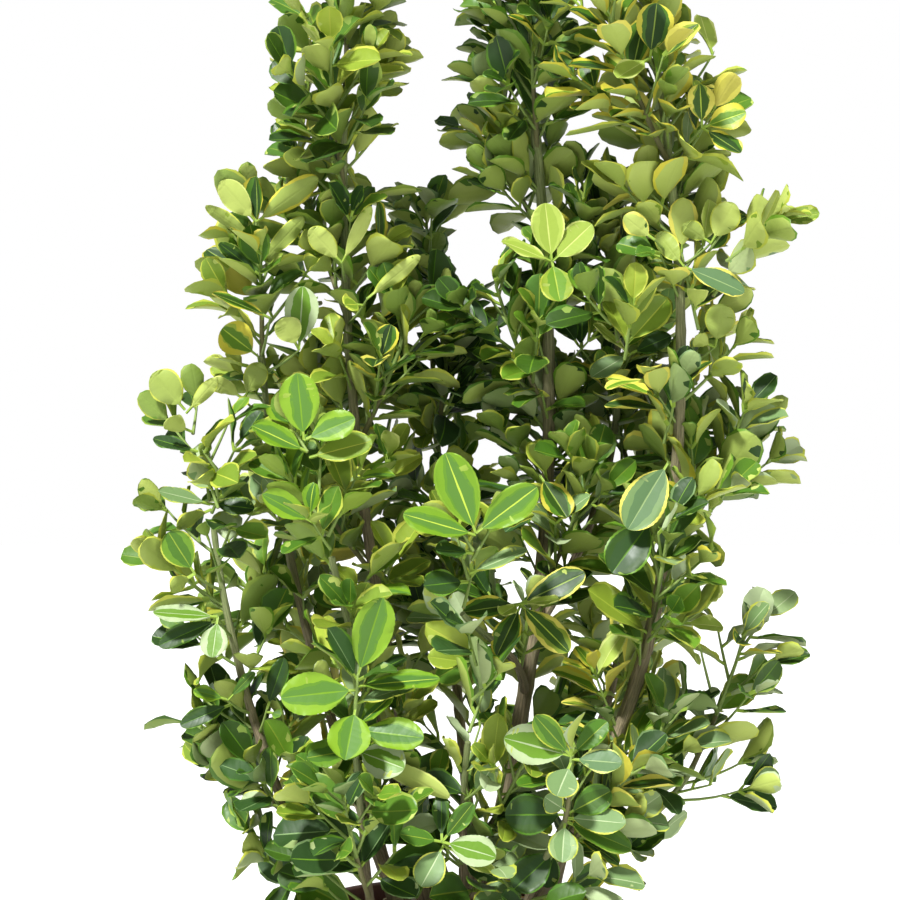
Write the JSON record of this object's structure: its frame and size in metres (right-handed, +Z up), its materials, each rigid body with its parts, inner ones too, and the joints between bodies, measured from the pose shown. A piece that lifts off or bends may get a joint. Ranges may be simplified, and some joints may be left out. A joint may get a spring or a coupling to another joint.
{
  "type": "potted euonymus shrub",
  "caption": "Upright evergreen shrub in a round plastic pot: a clump of bowed stems with leafy shoots all the way up, leaves green with golden edges.",
  "frame": {"origin": "middle of the pot's flat underside, on the pot's axis", "axes": "+Z up, +X to the right and +Y away from a viewer at the pictured front"},
  "size_m": [0.5524, 0.4257, 1.0433],
  "materials": {
    "pot": "matt moulded dark maroon plastic, paler and dusty at the rim",
    "soil": "moist brown compost with pale yellow-brown grit",
    "bark": "grey-brown bark with fine lengthwise ridges, green on young wood",
    "foliage": "leathery satin leaves, mid to dark green with lime and golden edges"
  },
  "bodies": {
    "root": {"back_centre": "bark", "back_centre_foliage_1": "foliage", "back_centre_foliage_2": "foliage", "back_centre_top_foliage": "foliage", "back_left": "bark", "back_left_foliage_1": "foliage", "back_left_top_foliage": "foliage", "back_right": "bark", "back_right_foliage_1": "foliage", "back_right_foliage_2": "foliage", "back_right_top_foliage": "foliage", "centre_bough": "bark", "centre_bough_foliage_1": "foliage", "centre_bough_top_foliage": "foliage", "centre_front": "bark", "centre_front_foliage_1": "foliage", "centre_front_top_foliage": "foliage", "centre_leader": "bark", "centre_leader_foliage_1": "foliage", "centre_leader_foliage_2": "foliage", "centre_leader_foliage_3": "foliage", "centre_leader_foliage_4": "foliage", "centre_leader_foliage_5": "foliage", "centre_leader_foliage_6": "foliage", "centre_leader_top_foliage": "foliage", "far_left": "bark", "far_left_foliage_1": "foliage", "far_left_foliage_2": "foliage", "far_left_top_foliage": "foliage", "front_bough": "bark", "front_bough_top_foliage": "foliage", "front_left": "bark", "front_left_foliage_1": "foliage", "front_left_top_foliage": "foliage", "front_right": "bark", "front_right_foliage_1": "foliage", "front_right_top_foliage": "foliage", "left_leader": "bark", "left_leader_foliage_1": "foliage", "left_leader_foliage_2": "foliage", "left_leader_foliage_3": "foliage", "left_leader_foliage_4": "foliage", "left_leader_top_foliage": "foliage", "left_middle": "bark", "left_middle_top_foliage": "foliage", "left_outer": "bark", "left_outer_top_foliage": "foliage", "pot": "pot", "right_leader": "bark", "right_leader_foliage_1": "foliage", "right_leader_foliage_2": "foliage", "right_leader_foliage_3": "foliage", "right_leader_foliage_4": "foliage", "right_leader_foliage_5": "foliage", "right_leader_foliage_6": "foliage", "right_leader_top_foliage": "foliage", "right_low": "bark", "right_low_foliage_1": "foliage", "right_low_top_foliage": "foliage", "soil": "soil"}
  },
  "joints": []
}
